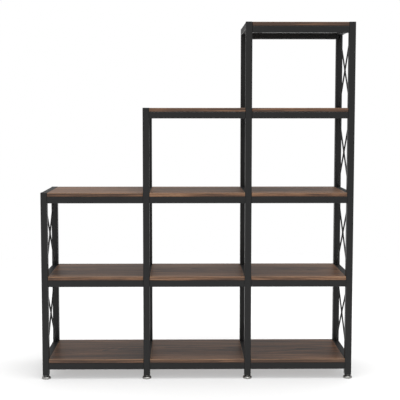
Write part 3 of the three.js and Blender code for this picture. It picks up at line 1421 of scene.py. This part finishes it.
@dataclass
class Bookshelf:
    """The whole shelf: four frames, twelve boards on twenty-four rails, and eight feet."""

    ladders: Mapping[str, bool] = field(
        default_factory=lambda: {
            "left_end": True,
            "middle_left": False,
            "middle_right": False,
            "right_end": True,
        }
    )
    bays: Mapping[str, int] = field(default_factory=lambda: {"left": 3, "middle": 4, "right": 5})
    tones: Mapping[str, BoardTone] = field(
        default_factory=lambda: {
            "left_1": BoardTone(-0.02, -0.07, -0.05),
            "middle_1": BoardTone(-0.02, -0.19, -0.15),
            "right_1": BoardTone(-0.02, -0.31, -0.33),
            "left_2": BoardTone(0.01, 0.04, 0.08),
            "middle_2": BoardTone(0.07, 0.06, 0.06),
            "right_2": BoardTone(0.06, 0.08, 0.08),
            "left_3": BoardTone(0.0, -0.14, 0.08),
            "middle_3": BoardTone(0.14, 0.29, 0.29),
            "right_3": BoardTone(0.11, -0.06, -0.02),
            "middle_4": BoardTone(0.0, -0.08, -0.06, 0.3),
            "right_4": BoardTone(0.0, -0.15, -0.15, 0.3),
            "right_5": BoardTone(0.0, -0.3, -0.2, 0.3),
        }
    )
    bay_seed: float = 0.37  # sets the bays' grain apart, by the length of their names
    section: TubeSection = TubeSection()

    def build(self, shop: Workshop) -> None:
        """Makes every piece of the shelf.

        Args:
            shop: What makes them.
        """
        for bay, levels in self.bays.items():
            for level in range(1, levels + 1):
                self.shelf(shop, bay, level)
        tallest = range(1, self.bays["right"] + 1)
        tops = [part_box(f"board_right_{level}")[1].z for level in tallest]
        for name, crossed in self.ladders.items():
            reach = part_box(f"frame_{name}")[1].z
            rails = [top - self.section.half for top in tops if top < reach]
            LadderFrame(name, rails, crossed).build(shop)
            for side in Side:
                LevellingFoot(f"{name}_{side.value}").build(shop)

    def shelf(self, shop: Workshop, bay: str, level: int) -> None:
        """Makes one board with its two rails and their fasteners.

        Args:
            shop: What makes them.
            bay: The bay's name.
            level: The shelf's number from the floor.
        """
        place = f"{bay}_{level}"
        seed = level + self.bay_seed * len(bay)
        ShelfBoard(f"board_{place}", f"walnut_board_{place}", seed, self.tones[place]).build(shop)
        for side in Side:
            where = f"{place}_{side.value}"
            rail = CrossRail(f"rail_{where}", f"cross_rail_{where}")
            rail.build(shop)
            Fasteners(rail, where).build(shop)


# The studio


@dataclass(frozen=True)
class Camera:
    """The camera at the photograph's place."""

    place: Triple = (-53.432 * MM, -3449.125 * MM, 1018.193 * MM)
    yaw: float = -0.00988  # in radians
    pitch: float = -0.07652  # in radians
    lens: float = 77.924  # in millimetres
    sensor: float = 36.0  # in millimetres
    shift_x: float = 0.0204
    shift_y: float = -0.0432

    def build(self) -> None:
        """Makes the camera and gives it to the scene."""
        data = bpy.data.cameras.new("camera")
        data.lens, data.sensor_width = self.lens, self.sensor
        data.shift_x, data.shift_y = self.shift_x, self.shift_y
        turn = Matrix.Rotation(self.yaw, 4, "Z") @ Matrix.Rotation(self.pitch, 4, "X")
        level = Matrix.Rotation(math.pi / 2, 4, "X")  # a camera looks down its own -Z
        camera = bpy.data.objects.new("camera", data)
        camera.matrix_world = Matrix.Translation(self.place) @ turn @ level
        bpy.context.scene.collection.objects.link(camera)
        bpy.context.scene.camera = camera


@dataclass(frozen=True)
class SoftLight:
    """A square soft light that faces a point."""

    name: str
    place: Triple
    size: float
    watts: float
    aim: Triple = (0, 0, 0.6)

    def build(self) -> None:
        """Makes the light."""
        data = bpy.data.lights.new(self.name, "AREA")
        data.shape, data.size, data.energy = "SQUARE", self.size, self.watts
        light = bpy.data.objects.new(self.name, data)
        light.location = self.place
        way = Vector(self.aim) - Vector(self.place)
        light.rotation_mode = "QUATERNION"
        light.rotation_quaternion = way.to_track_quat("-Z", "Y")
        bpy.context.scene.collection.objects.link(light)


@dataclass(frozen=True)
class Studio:
    """A pale floor that fades into a white room, lit by the room and by one light from above."""

    floor_radius: float = 6.0
    floor_columns: int = 96
    floor_fade: Span = (1.9, 3.2)  # how far out the floor begins to fade, and is gone
    floor_colour: Colour = (0.93, 0.93, 0.93)
    floor_roughness: float = 0.85
    cloud: Grain = Grain(3.0, 3.0, weight=0.01)
    clear: float = 0.42  # how much of the white room shows through the floor
    room: float = 0.25  # the strength of the room's light, and what each side adds to it
    left: float = 0.22
    left_span: Span = (-0.3, 1.0)
    front: float = 0.53
    front_span: Span = (0.0, 1.0)
    above: float = 0.56
    above_span: Span = (0.1, 1.0)
    low_behind: float = 1.0
    low_span: Span = (-0.02, 0.1)
    behind_span: Span = (0.3, 1.0)
    light: SoftLight = SoftLight("top", (0.5, -0.1, 4.2), 3.0, 138.0)

    def build(self) -> None:
        """Makes the floor, the light and the room."""
        self.light.build()
        self.floor()
        self.surroundings()
        bpy.context.scene.view_settings.view_transform = "Standard"

    def floor(self) -> None:
        """Makes the floor, a disc that turns clear away from the shelf."""
        points = spokes(full_turn(self.floor_columns)) * self.floor_radius
        mesh = bpy.data.meshes.new("floor")
        mesh.from_pydata(np.pad(points, ((0, 0), (0, 1))), [], [list(range(self.floor_columns))])
        material = bpy.data.materials.new("StudioFloor")
        shader = Shader(material)
        place = shader.place()
        darker = tuple(part - self.cloud.weight for part in self.floor_colour)
        matt = {
            "Base Color": shader.mix(self.cloud.on(place), self.floor_colour, darker),
            "Roughness": self.floor_roughness,
            "Specular IOR Level": 0.0,
        }
        pale = shader.out("ShaderNodeBsdfPrincipled", {}, matt)
        clear = shader.out("ShaderNodeBsdfTransparent")
        away = self.clear + place.length().step(*self.floor_fade) * (1 - self.clear)
        shader.finish(shader.blend(away, pale, clear))
        mesh.materials.append(material)
        floor = bpy.data.objects.new("floor", mesh)
        bpy.context.scene.collection.objects.link(floor)

    def surroundings(self) -> None:
        """Makes the room: white to look at, and of several strengths for its light."""
        world = bpy.data.worlds.new("room")
        bpy.context.scene.world = world
        shader = Shader(world)
        way = shader.direction()
        right, back, up = (way.part(letter) for letter in "XYZ")
        left, front, down = (part * -1.0 for part in (right, back, up))
        sides = left.step(*self.left_span) * self.left + front.step(*self.front_span) * self.front
        low_behind = down.step(*self.low_span) * back.step(*self.behind_span)
        strength = self.room + sides + up.step(*self.above_span) * self.above
        strength = strength + low_behind * self.low_behind
        white = {"Color": (1, 1, 1)}
        light = shader.out("ShaderNodeBackground", {}, {**white, "Strength": strength})
        looks = shader.out("ShaderNodeBackground", {}, {**white, "Strength": 1.0})
        seen = shader.out("ShaderNodeLightPath", output="Is Camera Ray")
        shader.finish(shader.blend(seen, light, looks), "ShaderNodeOutputWorld")


def main() -> None:
    """Builds the camera, the studio and the shelf."""
    logging.basicConfig(level=logging.INFO, format="%(name)s %(message)s")
    Camera().build()
    Studio().build()
    Bookshelf().build(Workshop())


if __name__ == "__main__":
    main()
